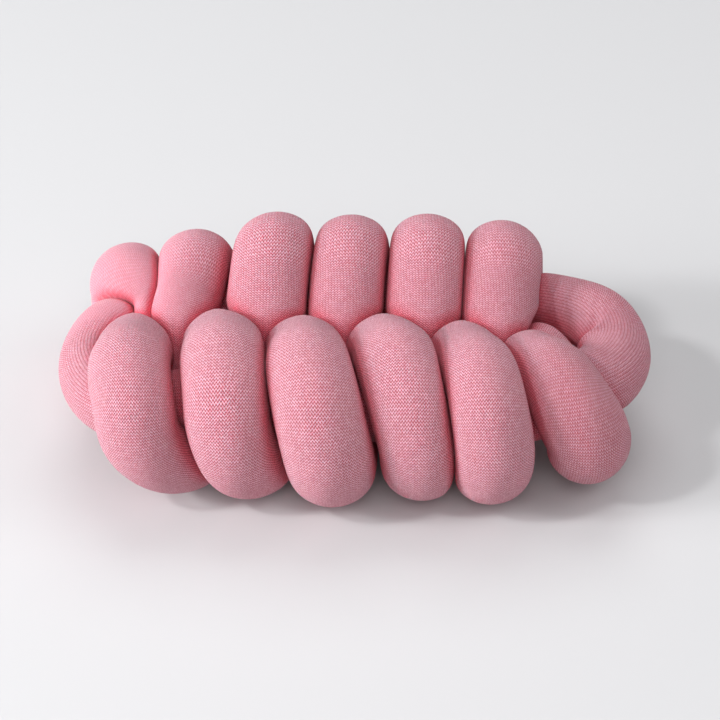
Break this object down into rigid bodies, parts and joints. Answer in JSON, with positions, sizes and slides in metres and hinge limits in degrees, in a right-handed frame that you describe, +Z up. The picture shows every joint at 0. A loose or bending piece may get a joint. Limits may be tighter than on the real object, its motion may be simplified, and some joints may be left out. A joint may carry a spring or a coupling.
{
  "type": "knot cushion",
  "caption": "Long loaf-shaped cushion of one stuffed knitted tube, wound in a figure of eight into two rows of fat lobes with a bend of tube at each end.",
  "frame": {"origin": "centre of the bounding box in X and Y, on the surface that the cushion rests on", "axes": "+X along the loaf, towards the wider end bend; -Y is the front, where the rows' lobes lean towards +X as they go down; +Z up"},
  "size_m": [0.6165, 0.3794, 0.191],
  "materials": {
    "pink_knit": "matt fine jersey knit in dusty pink, its ribs running along the tube, with a faint fuzz"
  },
  "bodies": {
    "root": {"knotted_tube": "pink_knit"}
  },
  "joints": []
}
